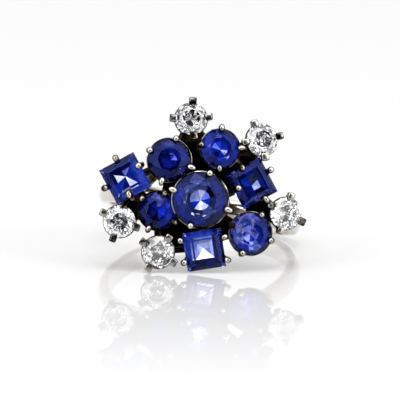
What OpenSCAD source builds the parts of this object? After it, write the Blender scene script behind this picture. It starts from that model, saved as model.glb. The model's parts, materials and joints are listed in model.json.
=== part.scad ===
// Cocktail ring with a domed cluster of eight sapphires and five diamonds.
// Sizes are millimetres. The ring lies on its side, its face towards -Y, and Z is up.

/* [Finger and shank] */
// Inside diameter of the finger hole
finger_d = 17; // [15:0.5:19]
// Thickness of the shank at its crown
shank_t = 1.1; // [0.9:0.1:1.4]
// Width of the shank along the finger
shank_w = 1.8; // [1.4:0.1:2.2]
// Angle of the shoulders from the middle of the head
shoulder_angle = 44; // [40:1:50]

/* [Cluster] */
// Height of the domed cluster's top over the middle of the finger hole
dome_top = 14.3; // [14:0.1:15.5]
// Radius of the dome that the girdles lie on
dome_radius = 40; // [36:1:60]
// Sideways place of the dome's top
dome_x = -3; // [-4:0.5:-1]
// Place of the dome's top along the finger
dome_y = 1; // [0:0.5:2]

/* [Stones] */
// Diameter of the round sapphire in the middle
centre_d = 5.1; // [4.8:0.1:5.1]
// Side of the square sapphires
square_w = 3.6; // [3.3:0.1:3.6]
// Diameter of the diamonds
diamond_d = 3; // [2.8:0.1:3]
// Gap between a stone and the metal that holds it
seat_gap = 0.04; // [0.03:0.01:0.06]

/* [Settings] */
// Diameter of the prong wire
prong_d = 0.56; // [0.5:0.01:0.6]
// Diameter of the bead that ends a prong
bead_d = 0.7; // [0.64:0.01:0.74]
// Width of a diamond's claw
claw_w = 0.72; // [0.6:0.01:0.76]
// Diameter of the bars that join the settings
bar_d = 0.76; // [0.66:0.01:0.86]

/* [Rest] */
// How far the face tips up where the ring lies
rest_tilt = 13.22; // [0:0.01:30]
// How far the finger hole leans sideways where the ring lies
rest_roll = 8.8; // [0:0.01:20]

/* [Hidden] */
$fn = 32;
finger_r = finger_d / 2;
shank_r = finger_r + shank_t;
// Radius of the half-round section of the shank
shank_round = 1.4;
// Place of the middle of the finger hole, with the ring's box centred over the origin
rest_shift = [-0.224, 2.991, 3.396];

// Columns of the table of settings
NAME = 0;
CUT = 1;
WIDTH = 2;
PLACE = 3;
DROP = 4;
TURN = 5;
GRIPS = 6;

// name, cut, width, place on the face [x, y], drop below the dome, turn, then its prongs:
// their angles round a round stone, or [side, place along it, reach over it] on a square one
SETTINGS = [
    ["sapphire_centre", "round", centre_d, [-0.5, 0.05], -0.3, 22, [81, 170, 258, 350]],
    ["sapphire_upper_left", "round", 3.95, [-3.9, 3.2], 0, 10, [82, 164, 260, 350]],
    ["sapphire_upper_right", "round", 3.6, [0.55, 5.05], 0, 0, [96, 181, 276, 10]],
    ["sapphire_lower_left", "round", 3.5, [-4.2, -1.6], 0.4, 15, [77, 151, 253, 336]],
    ["sapphire_lower_right", "round", 3.9, [4.65, -2.2], 0, 5, [72, 166, 254, 351]],
    ["sapphire_square_left", "square", square_w, [-7.6, 0.85], -0.1, 38,
        [[0, 0.4, 0.2], [90, -0.1, -0.25], [180, -0.1, -0.3], [270, -0.35, 0.5]]],
    ["sapphire_square_right", "square", square_w, [3.95, 2.4], 0, 38,
        [[0, 0.25, -0.3], [90, 0.2, 0.15], [180, -0.2, 0.35], [270, 0.4, 0]]],
    ["sapphire_square_bottom", "square", square_w, [0.65, -4.4], 0, 18.5,
        [[0, 0.85, -0.05], [0, -1.2, -0.15], [180, 0.85, -0.25], [180, -1.2, -0.3]]],
    ["diamond_top", "brilliant", diamond_d, [-2.55, 7.3], 0, 0, [94, 188, 287, 16]],
    ["diamond_upper_right", "brilliant", diamond_d, [4.25, 6.55], 0, 12, [22, 126, 200, 287]],
    ["diamond_right", "brilliant", diamond_d, [7.55, 0.2], 0, 8, [85, 163, 259, 344]],
    ["diamond_lower_left", "brilliant", diamond_d, [-3.5, -5.35], 0, 20, [64, 154, 247, 337]],
    ["diamond_left", "brilliant", diamond_d, [-7.5, -3.15], 0.2, 5, [80, 161, 259, 351]],
];

// Pairs of rows above whose settings a bar joins underneath
BARS = [
    [0, 1], [0, 2], [0, 3], [0, 4], [0, 6], [0, 7], [1, 8], [2, 8], [2, 9], [6, 9], [6, 10],
    [4, 10], [7, 11], [3, 11], [3, 12], [5, 12], [1, 5], [3, 5],
];
// Rows above whose settings a strut carries from the gallery ring
STRUTS = [1, 2, 3, 4, 6, 7];
// Rows above between whose settings a plate closes the gallery
PLATES = [
    [0, 1, 2], [0, 2, 6], [0, 4, 7], [0, 3, 7], [0, 1, 3],
    [1, 8, 2], [2, 9, 6], [6, 10, 4], [7, 11, 3], [3, 12, 5],
];
// Rows above whose settings the four arms of the shoulders reach
SHOULDERS = [1, 3, 6, 4];

// Proportions of a round stone, as shares of its radius
table_share = 0.56;
crown_share = 0.3;
pavilion_share = 0.84;
star_share = 0.78;
lower_share = 0.24;
girdle_share = 0.05;
facet_step = 22.5;
// Height of the star facets' points, as a share of the crown's height over the girdle
star_rise = (1 - star_share * cos(facet_step)) / (1 - table_share);
// Tiers of a square step cut: [half width, height] as shares of half its side
step_share = 0.9;
STEPS = [
    [0.62, 0.3], [0.84, 0.2], [1, 0.05],
    [1, -0.05], [0.8, -0.38], [0.5, -0.68], [0.14, -step_share],
];

// Foot of a setting: how far it reaches below its stone's point, its height and its radius
foot_below = 0.66;
foot_h = 0.4;
foot_share = 0.6;
stem_share = 0.48;
// Rim under a sapphire's girdle: how far it shows, how far it reaches under, and its height
rim_w = 0.14;
square_rim_w = 0.08;
rim_under = 0.3;
rim_h = 0.42;
rim_gap = 0.01;
// Prong: how far its wire and its bead stand off the girdle, and the bead's height and rise
prong_out = 0.12;
bead_out = 0.02;
bead_up = 0.32;
bead_rise = 0.5;
// Claw of a diamond: its bar's thickness, where it starts and ends, and the size of its tip
claw_t = 0.46;
claw_start = 0.25;
claw_off = 0.16;
claw_over = 0.22;
claw_out = 0.5;
claw_down = 0.2;
claw_up = 0.46;
claw_waist = 0.1;
// Wire ring that holds a diamond's claws: its place up the setting, radius and section
wire_place = 0.55;
wire_share = 0.56;
wire_t = 0.3;
wire_h = 0.32;
// Gallery ring that sits on the shank's crown, and the arms of the shoulders
rail_r = 2.1;
rail_w = 0.7;
rail_low = finger_r + 0.5;
rail_h = 1;
strut_d = bar_d * 1.1;
// Plate between settings: its thickness, and how far its corners run past their feet
plate_t = 0.4;
plate_lap = 0.15;
arm_d = 1.1;
arm_split = 0.2;
arm_sink = 0.5;
// Stones nearer than this can meet each other's prongs
neighbour_reach = 5.4;

// Direction of a setting's axis, and a point on it at height z over its girdle
function out_way(s) =
    let (d = s[PLACE] - [dome_x, dome_y])
    [d.x, d.y, sqrt(pow(dome_radius, 2) - d * d)] / dome_radius;
function face_point(s, z) =
    [dome_x, dome_y, dome_top - dome_radius] + (dome_radius - s[DROP] + z) * out_way(s);
// How far a setting reaches below its girdle, and the middle of its foot
function point_share(s) = s[CUT] == "square" ? step_share : pavilion_share;
function depth(s) = s[WIDTH] / 2 * point_share(s) + foot_below;
function foot(s) = face_point(s, foot_h / 2 - depth(s));
function polar(r, a, z) = [r * cos(a), r * sin(a), z];

// Lays the worn ring, whose finger hole is along Z, down on its side
module lay_down() {
    translate(rest_shift)
        rotate([-rest_tilt, rest_roll, 0])
            children();
}

// Face of the ring: X across it, Y along the finger, Z out of the face
module on_face() {
    lay_down()
        rotate([90, 0, 0])
            children();
}

module at_setting(s) {
    way = out_way(s);
    turn = atan2(way.y, way.x);
    translate(face_point(s, 0))
        rotate([0, 0, turn])
            rotate([0, acos(way.z), 0])
                rotate([0, 0, s[TURN] - turn])
                    children();
}

// Solid that wraps a cloud of points, whose flat sides are the facets
module gem(points) {
    hull()
        polyhedron(points, [[for (i = [0:len(points) - 1]) i]]);
}

// Round brilliant with a table, 32 crown facets, a 16-sided girdle and 24 pavilion facets
module brilliant_cut(r) {
    edge = girdle_share * r;
    crown = edge + crown_share * r;
    star_z = edge + (crown - edge) * star_rise;
    lower = lower_share * cos(facet_step);
    lower_z = (lower - 1) * pavilion_share * r - edge * lower;
    gem(concat(
        [for (a = [0:45:315]) polar(table_share * r, a, crown)],
        [for (a = [0:45:315]) polar(star_share * r, a + facet_step, star_z)],
        [for (a = [0:facet_step:359]) polar(r, a, edge)],
        [for (a = [0:facet_step:359]) polar(r, a, -edge)],
        [for (a = [0:45:315]) polar(lower_share * r, a + facet_step, lower_z)],
        [[0, 0, -pavilion_share * r]]
    ));
}

// Square step cut with a table, two crown tiers and three pavilion tiers
module step_cut(half) {
    corners = [[1, 1], [-1, 1], [-1, -1], [1, -1]];
    last = len(STEPS) - 1;
    polyhedron(
        [for (t = STEPS) for (c = corners) [c.x * t[0], c.y * t[0], t[1]] * half],
        concat(
            [[3, 2, 1, 0], [for (j = [0:3]) 4 * last + j]],
            [
                for (i = [0:last - 1])
                    for (j = [0:3])
                        let (k = (j + 1) % 4)
                            [4 * i + j, 4 * i + k, 4 * i + 4 + k, 4 * i + 4 + j]
            ]
        )
    );
}

module stone(s) {
    if (s[CUT] == "square") step_cut(s[WIDTH] / 2);
    else brilliant_cut(s[WIDTH] / 2);
}

// Room that a stone takes in the metal
module seat(s) {
    r = s[WIDTH] / 2 + seat_gap;
    edge = girdle_share * r + seat_gap / 2;
    crown = (girdle_share + crown_share) * r + seat_gap;
    if (s[CUT] == "square")
        step_cut(r + seat_gap / 2);
    else
        rotate_extrude()
            polygon([
                [0, -pavilion_share * r - seat_gap],
                [r, -edge],
                [r, edge],
                [star_share * r, edge + (crown - edge) * star_rise],
                [table_share * r, crown],
                [0, crown],
            ]);
}

module rod(from, to, d) {
    way = to - from;
    translate(from)
        rotate([0, acos(way.z / norm(way)), atan2(way.y, way.x)])
            cylinder(h = norm(way), d = d, $fn = 8);
}

module ring(r_in, r_out, low, high) {
    rotate_extrude()
        translate([r_in, low])
            square([r_out - r_in, high - low]);
}

// Prong: a wire from the foot ring that bends in past the stone's edge and ends in a bead
module prong(start, knee, tip) {
    past = (knee - start) / norm(knee - start) * prong_d / 4;
    rod(start, knee + past, prong_d);
    rod(knee, tip, prong_d * 0.9);
    translate(tip)
        sphere(d = bead_d);
}

// Basket of a round sapphire: rim under the girdle, four prongs and a foot ring
module round_basket(s) {
    r = s[WIDTH] / 2;
    low = -depth(s);
    foot_r = foot_share * r;
    ring(r - rim_under, r + rim_w, -rim_h, -girdle_share * r - rim_gap);
    ring(foot_r - foot_h, foot_r, low, low + foot_h);
    for (grip = s[GRIPS])
        let (a = grip - s[TURN])
            prong(
                polar(foot_r - foot_h / 2, a, low + foot_h / 4),
                polar(r + prong_out, a, 0),
                polar(r + bead_out, a, bead_up)
            );
}

// Basket of a square sapphire
module square_basket(s) {
    half = s[WIDTH] / 2;
    low = -depth(s);
    foot_r = foot_share * half;
    translate([0, 0, -rim_h])
        linear_extrude(rim_h - girdle_share * half - rim_gap)
            difference() {
                square(2 * (half + square_rim_w), center = true);
                square(2 * (half - rim_under), center = true);
            }
    ring(foot_r - foot_h, foot_r, low, low + foot_h);
    for (grip = s[GRIPS])
        let (along = grip[1], over = grip[2])
            rotate([0, 0, grip[0]])
                prong(
                    [foot_r - foot_h / 2, along / 3, low + foot_h / 4],
                    [half + prong_out, along, 0],
                    [half - over, along, bead_up + max(0, over) * bead_rise]
                );
}

// Setting of a diamond: four square claws that flare from one stem, held by a ring of wire
module claw_setting(s) {
    r = s[WIDTH] / 2;
    low = -depth(s);
    start = [claw_start, low + foot_h / 2];
    end = [r + claw_off, 0];
    bar_w = claw_w - claw_waist;
    wire_low = low * wire_place;
    translate([0, 0, low])
        cylinder(h = foot_h, r = stem_share * r);
    ring(wire_share * r, wire_share * r + wire_t, wire_low, wire_low + wire_h);
    for (grip = s[GRIPS])
        rotate([0, 0, grip - s[TURN]]) {
            translate([start.x, 0, start.y])
                rotate([0, atan2(end.x - start.x, end.y - start.y), 0])
                    translate([-claw_t / 2, -bar_w / 2, 0])
                        cube([claw_t, bar_w, norm(end - start)]);
            translate([r - claw_over, -claw_w / 2, -claw_down])
                cube([claw_over + claw_out, claw_w, claw_down + claw_up]);
        }
}

// Thin plate with three corners, each under a setting's foot
module plate(rows) {
    feet = [for (i = rows) foot(SETTINGS[i])];
    middle = (feet[0] + feet[1] + feet[2]) / 3;
    out = cross(feet[1] - feet[0], feet[2] - feet[0]);
    half = out / norm(out) * plate_t / 2;
    corners = [for (f = feet) f + (f - middle) / norm(f - middle) * plate_lap];
    polyhedron(
        concat([for (c = corners) c + half], [for (c = corners) c - half]),
        [[2, 1, 0], [3, 4, 5], [0, 1, 4, 3], [1, 2, 5, 4], [2, 0, 3, 5]]
    );
}

// Ring on the crown of the shank, struts that flare from it, bars that join the settings and
// plates between the bars
module gallery() {
    for (pair = BARS)
        rod(foot(SETTINGS[pair[0]]), foot(SETTINGS[pair[1]]), bar_d);
    for (rows = PLATES)
        plate(rows);
    ring(rail_r - rail_w / 2, rail_r + rail_w / 2, rail_low, rail_low + rail_h);
    for (i = STRUTS)
        let (end = foot(SETTINGS[i]))
            rod(polar(rail_r, atan2(end.y, end.x), rail_low + rail_h / 2), end, strut_d);
}

// Four arms from the shank's shoulders to the settings beside the middle one
module shoulders() {
    r = shank_r - arm_sink;
    for (i = SHOULDERS)
        let (end = foot(SETTINGS[i]))
            rod(
                [
                    sign(end.x) * r * sin(shoulder_angle),
                    sign(end.y) * arm_split,
                    r * cos(shoulder_angle)
                ],
                end,
                arm_d
            );
}

// Closed half-round shank round the finger hole, which is along Z here
module shank() {
    rotate_extrude($fn = 128)
        intersection() {
            translate([shank_r - shank_round, -shank_w / 2])
                square([2 * shank_round, shank_w]);
            translate([shank_r - shank_round, 0])
                circle(r = shank_round, $fn = 64);
        }
}

// Room for every stone that stands within reach of a place on the face
module seats_near(place) {
    for (s = SETTINGS)
        if (norm(s[PLACE] - place) < neighbour_reach)
            at_setting(s)
                seat(s);
}

// One setting, cut clear of its own stone and of its neighbours'
module setting(s) {
    difference() {
        at_setting(s) {
            if (s[CUT] == "round") round_basket(s);
            if (s[CUT] == "square") square_basket(s);
            if (s[CUT] == "brilliant") claw_setting(s);
        }
        seats_near(s[PLACE]);
    }
}

// All the soldered metal, bored for the finger
module ring_mount() {
    color("silver")
        difference() {
            union() {
                lay_down()
                    shank();
                on_face() {
                    gallery();
                    shoulders();
                    for (s = SETTINGS)
                        setting(s);
                }
            }
            lay_down()
                cylinder(h = 4 * finger_r, r = finger_r, center = true, $fn = 128);
        }
}

module set_stone(s) {
    color(s[CUT] == "brilliant" ? "white" : "royalblue")
        on_face()
            at_setting(s)
                stone(s);
}

ring_mount();
for (s = SETTINGS)
    set_stone(s);
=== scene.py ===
import json
import math
from functools import partial

import bmesh
import bpy
from mathutils import Matrix, Vector


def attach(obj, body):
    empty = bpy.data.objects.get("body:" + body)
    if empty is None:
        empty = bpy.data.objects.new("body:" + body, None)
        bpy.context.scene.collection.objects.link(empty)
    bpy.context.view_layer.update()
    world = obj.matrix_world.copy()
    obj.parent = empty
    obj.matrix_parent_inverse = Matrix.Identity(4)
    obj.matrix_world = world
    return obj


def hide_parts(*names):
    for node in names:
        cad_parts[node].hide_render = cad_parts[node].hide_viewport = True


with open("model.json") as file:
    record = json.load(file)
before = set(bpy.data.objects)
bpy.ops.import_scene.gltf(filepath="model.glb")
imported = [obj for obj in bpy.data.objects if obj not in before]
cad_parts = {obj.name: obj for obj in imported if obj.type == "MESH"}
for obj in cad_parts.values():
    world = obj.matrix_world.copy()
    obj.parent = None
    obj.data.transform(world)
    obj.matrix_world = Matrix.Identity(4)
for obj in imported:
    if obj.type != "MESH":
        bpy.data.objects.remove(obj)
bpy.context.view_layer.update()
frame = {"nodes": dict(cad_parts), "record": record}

# Shank: a plain closed band of platinum, drawn as half-round wire, bent round a mandrel,
# soldered and polished. It is flat inside and domed outside, and its edges are eased.
mm = 0.001
hole = frame["record"]["mounts"][0]
finger_r = hole["dims"]["r_mm"] * mm
shank_w = hole["dims"]["length_mm"] * mm
shank_t = 1.1 * mm
shank_round = 1.4 * mm
shank_edge = 0.12 * mm
shank_steps = 128
# A noise stays between these two nearly everywhere
noise_low = 0.3
noise_high = 0.7


def face_frame(mount):
    """Place and turn of the ring: X across its face, Y along the finger, Z out of the face."""
    along = Vector(mount["axis"]).normalized()
    roll = math.atan2(along.x, along.z)
    across = Vector((math.cos(roll), 0, -math.sin(roll)))
    out = across.cross(along)
    turned = Matrix((across, along, out)).transposed().to_4x4()
    return Matrix.Translation(mount["pos_m"]) @ turned


ON_FACE = face_frame(hole)


def linear(code):
    """Linear colour of an sRGB hex value."""
    parts = [int(code[i:i + 2], 16) / 255 for i in (1, 3, 5)]
    return [c / 12.92 if c <= 0.04045 else ((c + 0.055) / 1.055) ** 2.4 for c in parts] + [1]


def add(tree, kind, settings=None):
    """Adds a node. A key that names or numbers an input gives it a value or a link, and any
    other key is a setting of the node."""
    node = tree.nodes.new(kind)
    for key, value in (settings or {}).items():
        if isinstance(value, bpy.types.NodeSocket):
            tree.links.new(value, node.inputs[key])
        elif isinstance(key, int) or key in node.inputs:
            node.inputs[key].default_value = value
        else:
            setattr(node, key, value)
    return node


def new_material(name):
    """An empty material, its tree and its output node."""
    made = bpy.data.materials.new(name)
    made.use_nodes = True
    made.node_tree.nodes.clear()
    return made, made.node_tree, made.node_tree.nodes.new("ShaderNodeOutputMaterial")


def faint_wear(tree, place, wear):
    """How dark metal is that fingers keep bright: only a little, where it is worn most."""
    return add(
        tree, "ShaderNodeMapRange",
        {"From Min": 0.55, "From Max": 0.8, "To Min": 0.0, "To Max": 0.15, "Value": wear},
    ).outputs["Result"]


def platinum(name, bright, shine, darken=faint_wear):
    """Platinum, worked and polished by hand, so it mirrors the light a little softly. Shine is
    the least and most roughness of its polish, and darken says how black each place is: faint
    wear on the shank, and painted shade in the settings."""
    made, tree, out = new_material(name)
    place = add(tree, "ShaderNodeTexCoord").outputs["Object"]
    # Wear of about 0.3 mm, and scratches of about 0.05 mm drawn twice as coarse as they are
    wear = add(
        tree, "ShaderNodeTexNoise", {"Scale": 3.2 / mm, "Detail": 3, "Vector": place}
    ).outputs["Fac"]
    scratch = add(tree, "ShaderNodeTexNoise", {"Scale": 10 / mm, "Detail": 4, "Vector": place})
    # The dark colour is faint wear on the shank, and painted shade in the settings' recesses and
    # on their flanks
    colour = add(
        tree, "ShaderNodeMix",
        {"data_type": "RGBA", 0: darken(tree, place, wear), 6: linear(bright),
         7: linear("#1d140e")},
    )
    rough = add(
        tree, "ShaderNodeMapRange",
        {"From Min": noise_low, "From Max": noise_high, "To Min": shine[0], "To Max": shine[1],
         "Value": wear},
    )
    bump = add(
        tree, "ShaderNodeBump",
        {"Strength": 0.06, "Distance": 0.02 * mm, "Height": scratch.outputs["Fac"]},
    )
    skin = add(
        tree, "ShaderNodeBsdfPrincipled",
        {"Metallic": 1.0, "Base Color": colour.outputs[2], "Roughness": rough.outputs["Result"],
         "Normal": bump.outputs["Normal"]},
    )
    tree.links.new(skin.outputs[0], out.inputs["Surface"])
    return made


PLATINUM = platinum("polished_platinum", "#d9d5cd", (0.07, 0.2))


def finish_piece(bm, name, material, place, sharp=35):
    """Makes a mesh object of bm, put in its place, with its faces outwards."""
    bmesh.ops.transform(bm, matrix=place, verts=bm.verts)
    bmesh.ops.recalc_face_normals(bm, faces=bm.faces)
    mesh = bpy.data.meshes.new(name)
    bm.to_mesh(mesh)
    bm.free()
    return dress(mesh, name, material, sharp)


def dress(mesh, name, material, sharp=35):
    """An object of a mesh that is in its place, smooth but for edges over sharp degrees."""
    mesh.materials.clear()
    mesh.materials.append(material)
    mesh.polygons.foreach_set("use_smooth", [True] * len(mesh.polygons))
    mesh.set_sharp_from_angle(angle=math.radians(sharp))
    piece = bpy.data.objects.new(name, mesh)
    bpy.context.scene.collection.objects.link(piece)
    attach(piece, "root")
    return piece


def hoop(profile, steps, axis):
    """Spins the boundary of a flat profile all the way round an axis, and drops the profile."""
    bmesh.ops.delete(profile, geom=profile.faces[:], context="FACES_ONLY")
    bmesh.ops.spin(
        profile, geom=profile.verts[:] + profile.edges[:], cent=(0, 0, 0), axis=axis,
        angle=2 * math.pi, steps=steps, use_merge=True,
    )
    return profile


band = bmesh.new()
bmesh.ops.create_circle(band, cap_ends=True, segments=32, radius=shank_round)
bmesh.ops.translate(band, verts=band.verts, vec=(finger_r + shank_t - shank_round, 0, 0))
for edge, way in (
    ((finger_r, 0, 0), (-1, 0, 0)),
    ((0, shank_w / 2, 0), (0, 1, 0)),
    ((0, -shank_w / 2, 0), (0, -1, 0)),
):
    bmesh.ops.bisect_plane(
        band, geom=band.verts[:] + band.edges[:] + band.faces[:],
        plane_co=edge, plane_no=way, clear_outer=True,
    )
# The points on the band's two sides, found to within rounding
hair = 0.0001 * mm
corners = [v for v in band.verts if abs(abs(v.co.y) - shank_w / 2) < hair]
bmesh.ops.bevel(
    band, geom=corners, offset=shank_edge, affect="VERTICES", segments=4, profile=0.5,
    material=-1,
)
shank = finish_piece(
    hoop(band, shank_steps, (0, 1, 0)), "shank", PLATINUM, ON_FACE
)
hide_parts("ring_mount")

# Gallery: a ring of platinum wire on the crown of the shank, struts that flare from it, and
# bars that join the feet of the settings, with plates between some of them. All of it is
# soldered, and its recesses and flanks are darkened to brown-black with painted shade.
foot_below = 0.66 * mm
foot_h = 0.4 * mm
bar_d = 0.76 * mm
joint_d = 1.06 * bar_d
strut_d = 0.84 * mm
rail_r = 2.1 * mm
rail_w = 0.7 * mm
rail_h = 1 * mm
rail_low = finger_r + 0.5 * mm
rail_ease = 0.2 * mm
# The settings whose feet stand on struts
STRUTS = (
    "sapphire_upper_left", "sapphire_upper_right", "sapphire_lower_left",
    "sapphire_lower_right", "sapphire_square_right", "sapphire_square_bottom",
)
# Bars: the foot that they start from, and the feet that they lead to
BARS = (
    ("sapphire_centre", STRUTS),
    ("diamond_top", ("sapphire_upper_left", "sapphire_upper_right")),
    ("diamond_upper_right", ("sapphire_upper_right", "sapphire_square_right")),
    ("diamond_right", ("sapphire_square_right", "sapphire_lower_right")),
    ("diamond_lower_left", ("sapphire_square_bottom", "sapphire_lower_left")),
    ("diamond_left", ("sapphire_lower_left", "sapphire_square_left")),
    ("sapphire_square_left", ("sapphire_upper_left", "sapphire_lower_left")),
)
plate_t = 0.4 * mm
plate_lap = 0.15 * mm
# Plates: the feet at their three corners
PLATES = (
    ("sapphire_centre", "sapphire_upper_left", "sapphire_upper_right"),
    ("sapphire_centre", "sapphire_upper_right", "sapphire_square_right"),
    ("sapphire_centre", "sapphire_lower_right", "sapphire_square_bottom"),
    ("sapphire_centre", "sapphire_lower_left", "sapphire_square_bottom"),
    ("sapphire_centre", "sapphire_lower_left", "sapphire_upper_left"),
    ("sapphire_upper_left", "sapphire_upper_right", "diamond_top"),
    ("sapphire_upper_right", "sapphire_square_right", "diamond_upper_right"),
    ("sapphire_square_right", "sapphire_lower_right", "diamond_right"),
    ("sapphire_lower_left", "sapphire_square_bottom", "diamond_lower_left"),
    ("sapphire_lower_left", "sapphire_square_left", "diamond_left"),
)
stone_gap = 0.03 * mm
near_reach = 5.4 * mm
# Points of the frame's loose triangles that are closer than this are one
weld = 0.002 * mm
# Points further from a stone's middle than this share of its reach are on its girdle
on_girdle = 0.999
# The settings stand on a shallow dome, whose top is given in the face's frame
dome_r = 40 * mm
dome_top = Vector((-3, 1, 14.3)) * mm
dome_middle = ON_FACE @ (dome_top - Vector((0, 0, dome_r)))
# How far the painted shade's height sways with wear and patches, and sinks from a crest to a flank
wear_sway = 0.5 * mm
patch_sway = 5 * mm
flank_drop = 1.8 * mm


def painted_shade(tree, place, wear, low, high):
    """Painted shade on the settings' platinum: all black below the low height over the dome, which
    stands for the shade in the recesses, and bright over the high one. A flank counts as lower
    than a crest, so it gets painted shade as well."""
    # Patches of about 1 mm, where the painted shade reaches higher or lower
    patch = add(tree, "ShaderNodeTexNoise", {"Scale": 0.9 / mm, "Detail": 2, "Vector": place})
    span = add(
        tree, "ShaderNodeVectorMath", {"operation": "SUBTRACT", 0: place, 1: dome_middle}
    ).outputs[0]
    reach = add(tree, "ShaderNodeVectorMath", {"operation": "LENGTH", 0: span}).outputs["Value"]
    way = add(tree, "ShaderNodeVectorMath", {"operation": "NORMALIZE", 0: span}).outputs[0]
    normal = add(tree, "ShaderNodeNewGeometry").outputs["Normal"]
    facing = add(
        tree, "ShaderNodeVectorMath", {"operation": "DOT_PRODUCT", 0: way, 1: normal}
    ).outputs["Value"]
    level = reach
    for source, sway in (
        (wear, wear_sway), (patch.outputs["Fac"], patch_sway), (facing, flank_drop),
    ):
        level = add(
            tree, "ShaderNodeMath", {"operation": "MULTIPLY_ADD", 0: source, 1: sway, 2: level}
        ).outputs[0]
    # A crest on the dome faces straight out, and both noises are a half on the average
    usual = dome_r + wear_sway / 2 + patch_sway / 2 + flank_drop
    shade_share = add(
        tree, "ShaderNodeMapRange",
        {"From Min": usual + low, "From Max": usual + high, "To Min": 1.0, "To Max": 0.0,
         "Value": level},
    ).outputs["Result"]
    # The shoulders and the back get less painted shade than the recesses: below
    # the least height or facing only a share of the black is left, and above the most all of it
    for source, least, most, left in (
        (reach, dome_r - 6.5 * mm, dome_r - 4.4 * mm, 0.1),
        (facing, -0.7, -0.1, 0.35),
    ):
        spared = add(
            tree, "ShaderNodeMapRange",
            {"From Min": least, "From Max": most, "To Min": left, "Value": source},
        ).outputs["Result"]
        shade_share = add(
            tree, "ShaderNodeMath", {"operation": "MULTIPLY", 0: shade_share, 1: spared}
        ).outputs[0]
    return shade_share


# Platinum of the settings, with painted shade in its recesses and on its flanks
SETTING_METAL = platinum(
    "platinum_painted_shade", "#c6c0b4", (0.04, 0.14), partial(painted_shade, low=-0.3 * mm, high=0.8 * mm)
)


def seat_of(name):
    """A stone's seat: its place, half width, depth of point and turn of facets. The place has
    its origin in the middle of the girdle, Z out of the table and X along the ring's face."""
    mesh = frame["nodes"][name].data
    facets = {}
    for face in mesh.polygons:
        key = tuple(round(c, 3) for c in face.normal)
        total, middle = facets.get(key, (0, Vector()))
        facets[key] = total + face.area, middle + face.area * face.center
    key = max(facets, key=lambda k: facets[k][0])
    area, middle = facets[key]
    up = Vector(key).normalized()
    out = ON_FACE.to_3x3().col[2]
    turned = out.rotation_difference(up).to_matrix() @ ON_FACE.to_3x3()
    place = Matrix.Translation(middle / area) @ turned.to_4x4()
    points = [place.inverted() @ v.co for v in mesh.vertices]
    reach = max(p.xy.length for p in points)
    edge = [p.z for p in points if p.xy.length > on_girdle * reach]
    girdle = (min(edge) + max(edge)) / 2
    top = max(points, key=lambda p: (round(p.z / mm, 3), p.xy.length))
    corner = math.degrees(math.atan2(top.y, top.x))
    square = "square" in name
    step, first = (90, 45) if square else (45, 0)
    turn = (corner - first + step / 2) % step - step / 2
    return {
        "place": place @ Matrix.Translation((0, 0, girdle)),
        "half": reach / math.sqrt(2) if square else reach,
        "deep": girdle - min(p.z for p in points), "turn": math.radians(turn),
    }


SAPPHIRES = [n for n in sorted(frame["nodes"]) if n.startswith("sapphire")]
DIAMONDS = [n for n in sorted(frame["nodes"]) if n.startswith("diamond")]
SEATS = {name: seat_of(name) for name in SAPPHIRES + DIAMONDS}


def foot_of(name):
    """The middle of a setting's foot, in the face's frame."""
    seat = SEATS[name]
    foot = seat["place"] @ Vector((0, 0, foot_h / 2 - seat["deep"] - foot_below))
    return ON_FACE.inverted() @ foot


def rod(start, end, d_start, d_end=None, sides=20):
    """A straight or tapered length of round wire."""
    start, end = Vector(start), Vector(end)
    way = end - start
    turned = Vector((0, 0, 1)).rotation_difference(way).to_matrix().to_4x4()
    bm = bmesh.new()
    bmesh.ops.create_cone(
        bm, cap_ends=True, segments=sides, radius1=d_start / 2, radius2=(d_end or d_start) / 2,
        depth=way.length, matrix=Matrix.Translation((start + end) / 2) @ turned,
    )
    return bm


def ball(middle, d, flat=1.0):
    """A round grain of metal, such as a bead or the solder at a joint."""
    bm = bmesh.new()
    bmesh.ops.create_uvsphere(
        bm, u_segments=24, v_segments=16, radius=d / 2,
        matrix=Matrix.Translation(middle) @ Matrix.Diagonal((1, 1, flat, 1)),
    )
    return bm


def collar(r_in, r_out, low, high, ease, steps=72):
    """A flat ring round Z with eased edges."""
    bm = bmesh.new()
    bmesh.ops.create_grid(
        bm, x_segments=1, y_segments=1, size=0.5,
        matrix=Matrix.Translation(((r_in + r_out) / 2, 0, (low + high) / 2))
        @ Matrix.Diagonal((r_out - r_in, 1, high - low, 1)) @ Matrix.Rotation(math.pi / 2, 4, "X"),
    )
    bmesh.ops.bevel(
        bm, geom=bm.verts[:], offset=ease, affect="VERTICES", segments=3, profile=0.5,
        material=-1,
    )
    return hoop(bm, steps, (0, 0, 1))


def plate(feet):
    """A three-cornered plate that fills the space between the bars of three feet."""
    middle = sum(feet, Vector()) / 3
    out = (feet[1] - feet[0]).cross(feet[2] - feet[0]).normalized() * plate_t / 2
    bm = bmesh.new()
    for side in (out, -out):
        for foot in feet:
            bm.verts.new(foot + (foot - middle).normalized() * plate_lap + side)
    bmesh.ops.convex_hull(bm, input=bm.verts)
    return bm


def as_tool(bm, place=Matrix()):
    """An object of a closed shape, for a Boolean."""
    bmesh.ops.transform(bm, matrix=place, verts=bm.verts)
    bmesh.ops.recalc_face_normals(bm, faces=bm.faces)
    mesh = bpy.data.meshes.new("tool")
    bm.to_mesh(mesh)
    bm.free()
    tool = bpy.data.objects.new("tool", mesh)
    bpy.context.scene.collection.objects.link(tool)
    return tool


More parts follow.
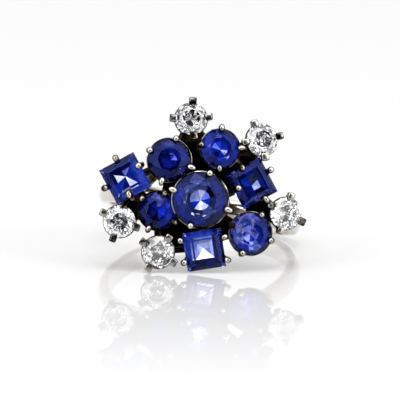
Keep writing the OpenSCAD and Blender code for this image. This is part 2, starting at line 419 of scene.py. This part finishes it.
def soldered(shapes, cutters, name, place, metal):
    """Joins closed shapes into one body, cuts the cutters out of it and dresses it."""
    tools = [as_tool(bm, place) for bm in shapes]
    body = tools[0]
    cuts = [as_tool(bm) for bm in cutters]
    for kind, others in (("UNION", tools[1:]), ("DIFFERENCE", cuts)):
        for other in others:
            step = body.modifiers.new("join", "BOOLEAN")
            step.operation = kind
            step.solver = "MANIFOLD"
            step.object = other
    graph = bpy.context.evaluated_depsgraph_get()
    mesh = bpy.data.meshes.new_from_object(body.evaluated_get(graph))
    mesh.name = name
    for tool in tools + cuts:
        bpy.data.meshes.remove(tool.data)
    return dress(mesh, name, metal)


def stone_room(name):
    """The room that a stone takes in the metal: its own shape, grown by a gap."""
    bm = bmesh.new()
    bm.from_mesh(frame["nodes"][name].data)
    bmesh.ops.remove_doubles(bm, verts=bm.verts, dist=weld)
    seat = SEATS[name]
    grow = Matrix.Scale(1 + stone_gap / seat["half"], 4)
    place = seat["place"]
    bmesh.ops.transform(bm, matrix=place @ grow @ place.inverted(), verts=bm.verts)
    return bm


def near(name):
    """The stones that stand near a setting, its own among them."""
    middle = SEATS[name]["place"].translation
    return [n for n in SEATS if (SEATS[n]["place"].translation - middle).length < near_reach]


wires = [
    collar(rail_r - rail_w / 2, rail_r + rail_w / 2, rail_low, rail_low + rail_h, rail_ease)
]
for name, others in BARS:
    wires += [rod(foot_of(name), foot_of(other), bar_d) for other in others]
for name in STRUTS:
    foot = foot_of(name)
    start = foot.xy.normalized() * rail_r
    wires.append(rod((*start, rail_low + rail_h / 2), foot, strut_d, bar_d))
for name in SEATS:
    wires.append(ball(foot_of(name), joint_d))
wires += [plate([foot_of(name) for name in names]) for names in PLATES]
gallery = soldered(wires, [stone_room(n) for n in SEATS], "gallery", ON_FACE, SETTING_METAL)
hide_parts("ring_mount")

# Shoulders: four arms, two each side, that rise from the shank and run in under the
# sapphires beside the middle one. Each is tapered platinum wire, filed and soldered.
shoulder_angle = math.radians(44)
arm_d = 1.1 * mm
arm_tip = 0.84 * mm
arm_end_d = 0.99 * arm_d
arm_split = 0.2 * mm
arm_sunk = 0.5 * mm
arm_root = finger_r + shank_t - arm_sunk
finger_d = 2 * finger_r + 0.02 * mm
ARMS = (
    "sapphire_upper_left", "sapphire_lower_left", "sapphire_square_right",
    "sapphire_lower_right",
)
arms = []
for name in ARMS:
    foot = foot_of(name)
    start = Vector((
        math.copysign(arm_root * math.sin(shoulder_angle), foot.x),
        math.copysign(arm_split, foot.y), arm_root * math.cos(shoulder_angle),
    ))
    arms += [rod(start, foot, arm_d, arm_tip), ball(start, arm_end_d)]
# Whatever of the arms' ends reaches into the finger hole is cut away
finger = rod((0, 2 * shank_w, 0), (0, -2 * shank_w, 0), finger_d, sides=240)
bmesh.ops.transform(finger, matrix=ON_FACE, verts=finger.verts)
shoulders = soldered(arms, [finger], "shoulders", ON_FACE, SETTING_METAL)
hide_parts("ring_mount")

# Baskets of the round sapphires: a rim under the girdle, a foot ring, and four prongs of
# platinum wire that bend in past the stone's edge and are melted into a bead over it.
prong_d = 0.56 * mm
prong_tip = 0.9 * prong_d
prong_out = 0.12 * mm
bead_d = 0.7 * mm
bead_up = 0.32 * mm
bead_out = 0.02 * mm
bead_flat = 0.92
# How unevenly beads melt: the smallest one and the range up to the largest, as shares of
# bead_d, and by what shares the smallest one is longer and narrower than a round one
bead_least = 0.84
bead_range = 0.12
bead_longer = 0.45
bead_narrower = 0.08
rim_w = 0.14 * mm
rim_under = 0.3 * mm
rim_h = 0.42 * mm
rim_ease = 0.06 * mm
foot_ease = 0.1 * mm
# Shares of the stone's half width: how far the rim's top is under the middle of the girdle,
# and the outer radius of the foot ring
rim_below = 0.05
foot_share = 0.6
# Degrees from X at which the prongs stand
ROUND_GRIPS = {
    "sapphire_centre": (81, 170, 258, 350),
    "sapphire_upper_left": (82, 164, 260, 350),
    "sapphire_upper_right": (96, 181, 276, 10),
    "sapphire_lower_left": (77, 151, 253, 336),
    "sapphire_lower_right": (72, 166, 254, 351),
}


def uneven(number):
    """A share from 0 to 1 that differs from one number to the next."""
    return number % 10 / 9


def prong(start, knee, tip, odd):
    """A prong's wire, its bend and its bead, which no two times melts alike: odd is 0 to 1."""
    bead = ball((0, 0, 0), bead_d * (bead_least + bead_range * odd), bead_flat)
    lie = Matrix.Rotation(math.atan2(knee.y, knee.x), 4, "Z")
    longer = bead_longer * (1 - odd) ** 3
    shift = Matrix.Translation((longer * bead_d / 2, 0, 0))
    stretch = shift @ Matrix.Diagonal((1 + longer, 1 - bead_narrower * (1 - odd), 1, 1))
    bmesh.ops.transform(bead, matrix=Matrix.Translation(tip) @ lie @ stretch, verts=bead.verts)
    return [
        rod(start, knee, prong_d), ball(knee, prong_d), rod(knee, tip, prong_d, prong_tip),
        bead,
    ]


for name, grips in ROUND_GRIPS.items():
    seat = SEATS[name]
    r = seat["half"]
    low = -seat["deep"] - foot_below
    foot_r = foot_share * r
    shapes = [
        collar(r - rim_under, r + rim_w, -rim_h, -rim_below * r, rim_ease),
        collar(foot_r - foot_h, foot_r, low, low + foot_h, foot_ease),
    ]
    for grip in grips:
        way = Vector((math.cos(math.radians(grip)), math.sin(math.radians(grip)), 0))
        shapes += prong(
            way * (foot_r - foot_h / 2) + Vector((0, 0, low + foot_h / 4)),
            way * (r + prong_out),
            way * (r + bead_out) + Vector((0, 0, bead_up)),
            uneven(grip * 7),
        )
    basket = soldered(
        shapes, [stone_room(n) for n in near(name)], "basket_" + name, seat["place"],
        SETTING_METAL,
    )
    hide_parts("ring_mount")

# Baskets of the square sapphires: a square rim, a foot ring and four prongs, all of platinum
# wire, soldered. The prongs are set along the sides as the stone needs.
square_rim_w = 0.08 * mm
# Prongs: the degrees of their side, their place along it and their reach over it, in mm
SQUARE_GRIPS = {
    "sapphire_square_left": ((0, 0.4, 0.2), (90, -0.1, -0.25), (180, -0.1, -0.3),
                             (270, -0.35, 0.5)),
    "sapphire_square_right": ((0, 0.25, -0.3), (90, 0.2, 0.15), (180, -0.2, 0.35),
                              (270, 0.4, 0)),
    "sapphire_square_bottom": ((0, 0.85, -0.05), (0, -1.2, -0.15), (180, 0.85, -0.25),
                               (180, -1.2, -0.3)),
}


def square_rim(half):
    """A square frame that follows the girdle underneath."""
    bm = bmesh.new()
    bmesh.ops.create_grid(bm, x_segments=1, y_segments=1, size=half + square_rim_w)
    bmesh.ops.translate(bm, verts=bm.verts, vec=(0, 0, -rim_h))
    inner = bmesh.ops.inset_region(
        bm, faces=bm.faces[:], thickness=square_rim_w + rim_under, use_even_offset=True
    )
    middle = [f for f in bm.faces if f not in inner["faces"]]
    bmesh.ops.delete(bm, geom=middle, context="FACES")
    grown = bmesh.ops.extrude_face_region(bm, geom=bm.faces[:])
    top = [v for v in grown["geom"] if isinstance(v, bmesh.types.BMVert)]
    bmesh.ops.translate(bm, verts=top, vec=(0, 0, rim_h - rim_below * half))
    return bm


for name, grips in SQUARE_GRIPS.items():
    seat = SEATS[name]
    half = seat["half"]
    low = -seat["deep"] - foot_below
    foot_r = foot_share * half
    shapes = [
        square_rim(half), collar(foot_r - foot_h, foot_r, low, low + foot_h, foot_ease)
    ]
    for side, along, over in grips:
        turn = Matrix.Rotation(math.radians(side), 3, "Z")
        # A prong starts a third as far along, and its bead is higher the further it reaches
        shapes += prong(
            turn @ Vector((foot_r - foot_h / 2, along * mm / 3, low + foot_h / 4)),
            turn @ Vector((half + prong_out, along * mm, 0)),
            turn @ Vector((half - over * mm, along * mm, bead_up + max(0, over) * mm / 2)),
            uneven(abs(over) * 20),
        )
    basket = soldered(
        shapes, [stone_room(n) for n in near(name)], "basket_" + name,
        seat["place"] @ Matrix.Rotation(seat["turn"], 4, "Z"), SETTING_METAL,
    )
    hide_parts("ring_mount")

# Settings of the diamonds: four square platinum claws that flare from one stem, held half way
# up by a ring of wire. Their ends are cut off square, filed and bent over the girdle.
claw_w = 0.72 * mm
claw_t = 0.46 * mm
claw_over = 0.22 * mm
claw_out = 0.5 * mm
claw_up = 0.46 * mm
claw_down = 0.2 * mm
claw_ease = 0.13 * mm
stalk_w = claw_w - 0.1 * mm
stalk_ease = 0.08 * mm
stalk_in = 0.25 * mm
stalk_out = 0.16 * mm
brace_w = 0.3 * mm
brace_h = 0.32 * mm
brace_ease = 0.08 * mm
# The collar under the girdle, which shades the back of the stone
shade_in = 0.2 * mm
shade_out = 0.07 * mm
shade_low = 0.34 * mm
shade_ease = 0.05 * mm
# Shares of the stone's half width: the stem's diameter, the ring of wire's inner radius, and
# how far the collar's top is under the middle of the girdle
stem_share = 0.96
brace_share = 0.56
shade_below = 0.08
# The ring of wire's place, as a share of the setting's depth, and the narrowest claw's width,
# as a share of claw_w
brace_down = 0.55
claw_least = 0.84
# Filed platinum of the claws, with painted shade in the recesses and on the flanks
CLAW_METAL = platinum(
    "filed_platinum", "#aaa69e", (0.1, 0.25), partial(painted_shade, low=-0.2 * mm, high=0.6 * mm)
)
# Degrees from X at which the claws stand
CLAWS = {
    "diamond_top": (94, 188, 287, 16),
    "diamond_upper_right": (22, 126, 200, 287),
    "diamond_right": (85, 163, 259, 344),
    "diamond_lower_left": (64, 154, 247, 337),
    "diamond_left": (80, 161, 259, 351),
}


def block(size, place, ease):
    """A bar or block with eased edges."""
    bm = bmesh.new()
    bmesh.ops.create_cube(bm, size=1, matrix=Matrix.Diagonal((*size, 1)))
    bmesh.ops.bevel(
        bm, geom=bm.edges[:], offset=ease, affect="EDGES", segments=3, profile=0.5, material=-1
    )
    bmesh.ops.transform(bm, matrix=place, verts=bm.verts)
    return bm


for name, grips in CLAWS.items():
    seat = SEATS[name]
    r = seat["half"]
    low = -seat["deep"] - foot_below
    start = Vector((stalk_in, 0, low + foot_h / 2))
    end = Vector((r + stalk_out, 0, 0))
    lean = Vector((0, 0, 1)).rotation_difference(end - start).to_matrix().to_4x4()
    brace_r = brace_share * r
    brace_low = brace_down * low
    shapes = [
        rod((0, 0, low), (0, 0, low + foot_h), stem_share * r, sides=48),
        collar(brace_r, brace_r + brace_w, brace_low, brace_low + brace_h, brace_ease),
        collar(r - shade_in, r + shade_out, -shade_low, -shade_below * r, shade_ease),
    ]
    for grip in grips:
        turn = Matrix.Rotation(math.radians(grip), 4, "Z")
        stalk = (claw_t, stalk_w, (end - start).length)
        shapes.append(
            block(stalk, turn @ Matrix.Translation((start + end) / 2) @ lean, stalk_ease)
        )
        # No two ends were filed alike
        filed = claw_w * (claw_least + (1 - claw_least) * uneven(grip * 7))
        tip = (claw_over + claw_out, filed, claw_down + claw_up)
        middle = Vector((r + (claw_out - claw_over) / 2, 0, (claw_up - claw_down) / 2))
        shapes.append(block(tip, turn @ Matrix.Translation(middle), claw_ease))
    claws = soldered(
        shapes, [stone_room(n) for n in near(name)], "claws_" + name, seat["place"],
        CLAW_METAL,
    )
    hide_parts("ring_mount")

# Sapphires: eight blue corundum stones, cut and polished, five round brilliants and three
# square step cuts. They are old cuts, whose back facets are painted: blues for the body, pale
# ones as painted highlights and black ones as painted dark reflections.
girdle_margin = 0.01 * mm
# Radians that keep the facets off the borders between the tones
tone_turn = 0.05
# The colour of each body, and how strongly it takes up the rest of the light
SAPPHIRE_TONES = {
    "sapphire_centre": ("#a4b4ff", 145),
    "sapphire_upper_left": ("#5c7cff", 240),
    "sapphire_upper_right": ("#6c86ff", 200),
    "sapphire_lower_left": ("#5c7cff", 240),
    "sapphire_lower_right": ("#a4b0ff", 160),
    "sapphire_square_left": ("#a4b4ff", 120),
    "sapphire_square_right": ("#8ca0ff", 160),
    "sapphire_square_bottom": ("#a4b4ff", 90),
}
# Back tones, painted on the back facets: the blues stand for the stone's body, the sky, pale,
# white and grey ones are painted highlights, and black is a painted dark reflection. Each has its
# name, its colour, that of the silk in it, and how much of it is thrown back as by a mirror
BODY_AND_REFLECTION_TONES = {
    "k": ("black", "#02030f", "#050826", 0.6),
    "n": ("navy", "#0a1250", "#0e1a66", 0.5),
    "b": ("blue", "#14309c", "#1b3ab2", 0.4),
    "r": ("royal", "#2248d8", "#3460ee", 0.3),
    "s": ("sky", "#8498ee", "#a5b6f4", 0.9),
    "p": ("pale", "#b4c2f8", "#c6d0fa", 0.9),
    "w": ("white", "#f4f6ff", "#e4eaff", 0.95),
    "g": ("grey", "#a4b4d4", "#8694b8", 0.9),
    "o": ("slate", "#2a3350", "#3c4664", 0.3),
    "l": ("ash", "#5e6ea8", "#7282ba", 0.3),
    "m": ("silky", "#1a2a96", "#c4caff", 0.4),
}
# Rings of back facets from the girdle in: the share of the width where each ends, its slope
# and its eight tones, which go round from the stone's turn. Flat ones flash.
BACK_FACETS = {
    "sapphire_centre": ((0.72, 38, "nknbnnkn"), (0.54, 38, "bknrbbkb"), (0.37, 38, "kllooolo"),
                        (0, 15, "swggbwwb")),
    "sapphire_upper_left": ((0.7, 38, "nnnnkkkn"), (0.36, 38, "bbbnnnkn"), (0, 12, "smnnnnnn")),
    "sapphire_upper_right": ((0.7, 38, "bnbrbnbb"), (0.4, 38, "bbbrbnbb"), (0, 15, "bbrsbnbw")),
    "sapphire_lower_left": ((0.7, 38, "bnnnkknb"), (0.4, 38, "rmbnnkbr"), (0, 15, "rmbnnkbr")),
    "sapphire_lower_right": ((0.7, 38, "nbmbnnnn"), (0.4, 30, "bmmmsbsb"), (0, 12, "mmsmmmbm")),
    "sapphire_square_left": ((0.8, 38, "bkknnnrr"), (0.56, 30, "rnnnbwbr"), (0, 15, "bsnwbnwb")),
    "sapphire_square_right": ((0.76, 38, "nnkknnkn"), (0.5, 30, "obnknnkb"), (0, 15, "oobbnnsw")),
    "sapphire_square_bottom": ((0.84, 38, "nbrrnkkk"), (0.6, 20, "nrrbbknn"),
                               (0.42, 13, "pppspwwp"), (0, 15, "ppppppps")),
}
# Places of the points that aren't in the middle, as shares of half the width
POINTS = {
    "sapphire_square_bottom": (-0.03, 0.06), "sapphire_square_right": (0.1, -0.1),
    "sapphire_square_left": (-0.05, 0.12), "sapphire_centre": (0.03, -0.02),
    "sapphire_upper_left": (0.06, 0.04), "sapphire_upper_right": (0.05, -0.04),
}


def body_and_reflection_back(name, colours, mirror):
    """The back of a sapphire: facets that throw the light back, each painted with one tone: a blue
    that stands for the stone's body, a pale painted highlight, a black painted dark reflection.
    They have silk, which is clouds of fine needles. Its clouds are drawn 0.8 mm across and less."""
    made, tree, out = new_material(name)
    place = add(tree, "ShaderNodeTexCoord").outputs["Object"]
    silk = add(
        tree, "ShaderNodeTexNoise",
        {"Scale": 1.3 / mm, "Detail": 5, "Distortion": 0.6, "Vector": place},
    ).outputs["Fac"]
    veil = add(
        tree, "ShaderNodeMapRange", {"From Min": 0.42, "From Max": 0.58, "Value": silk}
    ).outputs["Result"]
    colour = add(
        tree, "ShaderNodeMix",
        {"data_type": "RGBA", 0: veil, 6: linear(colours[0]), 7: linear(colours[1])},
    )
    rough = add(
        tree, "ShaderNodeMapRange",
        {"From Min": noise_low, "From Max": noise_high, "To Min": 0.15, "To Max": 0.25,
         "Value": silk},
    )
    skin = add(
        tree, "ShaderNodeBsdfPrincipled",
        {"Metallic": mirror, "Specular IOR Level": 0.0, "Base Color": colour.outputs[2],
         "Roughness": rough.outputs["Result"]},
    )
    tree.links.new(skin.outputs[0], out.inputs["Surface"])
    return made


BODY_AND_REFLECTION_BACKS = {
    key: body_and_reflection_back("sapphire_body_and_reflection_" + tone[0], tone[1:3], tone[3])
    for key, tone in BODY_AND_REFLECTION_TONES.items()
}


def recut(name, rings, body, slot):
    """A stone with its own back facets between its girdle and its point. It keeps its front,
    and a facet's painted tone, body blue and painted reflection, goes by its direction from the
    middle."""
    seat = SEATS[name]
    bm = bmesh.new()
    bm.from_mesh(frame["nodes"][name].data)
    bmesh.ops.remove_doubles(bm, verts=bm.verts, dist=weld)
    bmesh.ops.transform(bm, matrix=seat["place"].inverted(), verts=bm.verts)
    edge = min(v.co.z for v in bm.verts if v.co.xy.length > on_girdle * seat["half"])
    below = [v for v in bm.verts if v.co.z < edge - girdle_margin]
    bmesh.ops.delete(bm, geom=below, context="VERTS")
    if "square" in name:
        sides = [e for e in bm.edges if e.is_boundary]
        bmesh.ops.subdivide_edges(bm, edges=sides, cuts=1)
    for face in bm.faces:
        face.material_index = 0
    # A point in place of a tone leaves a facet clear
    keys = ["."] + list(BODY_AND_REFLECTION_BACKS)
    x, y = POINTS.get(name, (0, 0))
    last = 1
    for share, slope, tones in rings:
        rim = [e for e in bm.edges if e.is_boundary]
        grown = bmesh.ops.extrude_edge_only(bm, edges=rim)["geom"]
        points = [g for g in grown if isinstance(g, bmesh.types.BMVert)]
        facets = [g for g in grown if isinstance(g, bmesh.types.BMFace)]
        bmesh.ops.scale(bm, verts=points, vec=(share / last, share / last, 1))
        drop = (last - share) * seat["half"] * math.tan(math.radians(slope))
        bmesh.ops.translate(bm, verts=points, vec=(0, 0, -drop))
        if not share:
            tip = (x * seat["half"], y * seat["half"], points[0].co.z)
            bmesh.ops.pointmerge(bm, verts=points, merge_co=tip)
        elif slot == "diamond":
            # A diamond's rings are staggered by half a facet, so its facets are three-cornered
            half_step = math.pi / len(points)
            twist = Matrix.Rotation(half_step, 3, "Z") @ Matrix.Diagonal(
                (math.cos(half_step), math.cos(half_step), 1)
            )
            bmesh.ops.transform(bm, matrix=twist.to_4x4(), verts=points)
            facets = bmesh.ops.triangulate(bm, faces=facets, quad_method="SHORT_EDGE")["faces"]
        for facet in facets:
            middle = facet.calc_center_median()
            around = math.atan2(middle.y, middle.x) - seat["turn"] + tone_turn
            part = around / (2 * math.pi) % 1
            facet.material_index = keys.index(tones[int(part * len(tones))])
        last = share
    marks = [f.material_index for f in bm.faces]
    stone = finish_piece(bm, name + "_cut", body, seat["place"], sharp=0)
    for key in keys[1:]:
        stone.data.materials.append(BODY_AND_REFLECTION_BACKS[key])
    stone.data.polygons.foreach_set("material_index", marks)
    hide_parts(name)


def clear_stone(name, colour, ior, dull, sheen):
    """A clear stone, polished flat by flat, so it shines like wet glass. Dull is the most
    roughness that polishing leaves, and sheen the colour of what its face mirrors."""
    made, tree, out = new_material(name)
    place = add(tree, "ShaderNodeTexCoord").outputs["Object"]
    # Polishing lines of about 0.1 mm
    polish = add(tree, "ShaderNodeTexNoise", {"Scale": 9 / mm, "Detail": 2, "Vector": place})
    rough = add(
        tree, "ShaderNodeMapRange",
        {"From Min": noise_low, "From Max": noise_high, "To Min": 0.0, "To Max": dull,
         "Value": polish.outputs["Fac"]},
    )
    skin = add(
        tree, "ShaderNodeBsdfPrincipled",
        {"Base Color": linear(colour), "IOR": ior, "Transmission Weight": 1.0,
         "Specular Tint": linear(sheen), "Roughness": rough.outputs["Result"]},
    )
    tree.links.new(skin.outputs[0], out.inputs["Surface"])
    return made, tree, out


def corundum(name, tone, depth):
    """Sapphire: clear corundum. The deeper the light's way through it, the bluer it gets."""
    made, tree, out = clear_stone(name, "#eef1ff", 1.77, 0.03, "#6474d8")
    blue = add(tree, "ShaderNodeVolumeAbsorption", {"Color": linear(tone), "Density": depth})
    tree.links.new(blue.outputs[0], out.inputs["Volume"])
    return made


for name, (tone, depth) in SAPPHIRE_TONES.items():
    recut(name, BACK_FACETS[name], corundum(name + "_corundum", tone, depth), "sapphire")

# Diamonds: five colourless stones of about a tenth of a carat on the rim of the cluster, cut
# in the old way, each a little differently, with many small back facets.
# Their rings of back facets are given as the sapphires' are, with one tone or sixteen; a black
# tone is a painted dark reflection, and a point leaves a facet clear.
DIAMOND_BACKS = {
    "diamond_top": ((0.7, 40, ".....k.........."), (0.4, 35, "k.......k......."),
                    (0, 42, "...k.......k....")),
    "diamond_upper_right": ((0.8, 42, "."), (0.5, 36, "."), (0.25, 40, "..........k....."),
                            (0, 34, ".")),
    "diamond_right": ((0.6, 41, "......k........."), (0.3, 44, "....k......k...."), (0, 36, ".")),
    "diamond_lower_left": ((0.74, 36, "...........k...."), (0.46, 38, ".....k.......k.."),
                           (0.2, 35, "."), (0, 37, "...k............")),
    "diamond_left": ((0.6, 41, "."), (0.3, 44, "........k....k.."), (0, 36, "..k.............")),
}
# Diamond is colourless, and throws back both light and dark; its black flecks are painted dark
# reflections on its back facets
DIAMOND = clear_stone("clear_diamond", "#fbfcff", 2.42, 0.02, "#ffffff")[0]
for name in DIAMONDS:
    recut(name, DIAMOND_BACKS[name], DIAMOND, "diamond")

# Table: a sheet of white acrylic, cast and polished, that the ring lies on. It shows a pale
# reflection of the ring, which fades towards the front.
table_size = 3.0
# Places along Y: the polish is full under the ring, and worn away 50 mm in front of it
polish_full = -12 * mm
polish_gone = -64 * mm


def white_acrylic():
    """White acrylic sheet with a polished face: an even white with a clear gloss over it."""
    made, tree, out = new_material("white_acrylic")
    place = add(tree, "ShaderNodeTexCoord").outputs["Object"]
    # Haze of about 17 mm
    haze = add(tree, "ShaderNodeTexNoise", {"Scale": 0.06 / mm, "Detail": 2, "Vector": place})
    rough = add(
        tree, "ShaderNodeMapRange",
        {"From Min": noise_low, "From Max": noise_high, "To Min": 0.02, "To Max": 0.04,
         "Value": haze.outputs["Fac"]},
    )
    front = add(tree, "ShaderNodeSeparateXYZ", {"Vector": place})
    polish = add(
        tree, "ShaderNodeMapRange",
        {"From Min": polish_gone, "From Max": polish_full, "To Min": 0.0, "To Max": 1.0,
         "Value": front.outputs["Y"]},
    )
    glance = add(tree, "ShaderNodeFresnel", {"IOR": 1.5})
    share = add(
        tree, "ShaderNodeMath",
        {"operation": "MULTIPLY", 0: polish.outputs["Result"], 1: glance.outputs[0]},
    )
    matt = add(tree, "ShaderNodeBsdfDiffuse", {"Color": linear("#c6c6c6")})
    gloss = add(
        tree, "ShaderNodeBsdfAnisotropic",
        {"Color": linear("#fcfcfc"), "Roughness": rough.outputs["Result"]},
    )
    skin = add(
        tree, "ShaderNodeMixShader",
        {0: share.outputs[0], 1: matt.outputs[0], 2: gloss.outputs[0]},
    )
    tree.links.new(skin.outputs[0], out.inputs["Surface"])
    return made


sheet = bmesh.new()
bmesh.ops.create_grid(sheet, x_segments=1, y_segments=1, size=table_size / 2)
table_mesh = bpy.data.meshes.new("table")
sheet.to_mesh(table_mesh)
sheet.free()
table_mesh.materials.append(white_acrylic())
table = bpy.data.objects.new("table", table_mesh)
bpy.context.scene.collection.objects.link(table)

# Light: a soft white tent with a dark opening in front of the ring, and four softboxes: one
# over the ring, and three small ones in front of it that put glints on the metal.
# Softboxes: name, place, width and height in metres, and watts
SOFTBOXES = (
    ("overhead", (0.03, -0.06, 0.32), (0.2, 0.14), 0.2),
    ("key_left", (-0.2, -0.24, 0.19), (0.06, 0.05), 0.12),
    ("key_right", (0.22, -0.2, 0.15), (0.05, 0.05), 0.12),
    ("key_top", (0.03, -0.2, 0.27), (0.05, 0.04), 0.1),
)
for name, spot, size, power in SOFTBOXES:
    lamp = bpy.data.lights.new(name, "AREA")
    lamp.shape = "RECTANGLE"
    lamp.size, lamp.size_y = size
    lamp.energy = power
    holder = bpy.data.objects.new(name, lamp)
    holder.location = spot
    holder.rotation_euler = (-Vector(spot)).to_track_quat("-Z", "Y").to_euler()
    bpy.context.scene.collection.objects.link(holder)

# The opening: half its angle, where it is, the width of its soft edge in radians, and the share
# of the tent's light that is left in it
opening = math.radians(32)
opening_rise = math.radians(14)
opening_turn = math.radians(5)
opening_edge = 0.08
opening_light = 0.03
opening_way = (
    math.sin(opening_turn) * math.cos(opening_rise),
    -math.cos(opening_turn) * math.cos(opening_rise), math.sin(opening_rise),
)
# The tent is brighter round the opening, fully within the first angle from the opening's
# middle and not beyond the second
front_full = math.radians(62)
front_gone = math.radians(80)
front_light = 2.4
tent_light = 1.08
world = bpy.data.worlds.new("studio")
world.use_nodes = True
sky = world.node_tree
sky.nodes.clear()
way = add(sky, "ShaderNodeTexCoord").outputs["Generated"]
front = add(
    sky, "ShaderNodeVectorMath", {"operation": "DOT_PRODUCT", 0: way, 1: opening_way}
).outputs["Value"]
cloth = add(
    sky, "ShaderNodeMapRange",
    {"From Min": math.cos(opening + opening_edge), "From Max": math.cos(opening - opening_edge),
     "To Min": 1.0, "To Max": opening_light, "Value": front},
)
lit = add(
    sky, "ShaderNodeMapRange",
    {"From Min": math.cos(front_gone), "From Max": math.cos(front_full),
     "To Min": tent_light, "To Max": front_light, "Value": front},
)
strength = add(
    sky, "ShaderNodeMath",
    {"operation": "MULTIPLY", 0: cloth.outputs["Result"], 1: lit.outputs["Result"]},
)
glow = add(
    sky, "ShaderNodeBackground", {"Color": (1, 1, 1, 1), "Strength": strength.outputs[0]}
)
add(sky, "ShaderNodeOutputWorld", {"Surface": glow.outputs[0]})
bpy.context.scene.world = world
bpy.context.scene.view_settings.view_transform = "Standard"

# Camera: a long lens, low over the table and turned a little, as for the photograph. It aims
# at the middle of the picture, which is on the ring's face.
camera_away = 0.6
camera_rise = math.radians(10.1)
camera_turn = math.radians(1.0)
camera_aim = Vector((-0.224, -11.44, 6.83)) * mm
view_w = 36.8 * mm
camera_data = bpy.data.cameras.new("camera")
camera_data.lens = camera_data.sensor_width * camera_away / view_w
camera_data.clip_start, camera_data.clip_end = 0.05, 10
camera = bpy.data.objects.new("camera", camera_data)
back = Vector((0, -math.cos(camera_rise), math.sin(camera_rise)))
camera.location = camera_aim + back * camera_away
camera.rotation_mode = "QUATERNION"
camera.rotation_quaternion = (-back).to_track_quat("-Z", "Y") @ Matrix.Rotation(
    camera_turn, 3, "Z"
).to_quaternion()
bpy.context.scene.collection.objects.link(camera)
bpy.context.scene.camera = camera
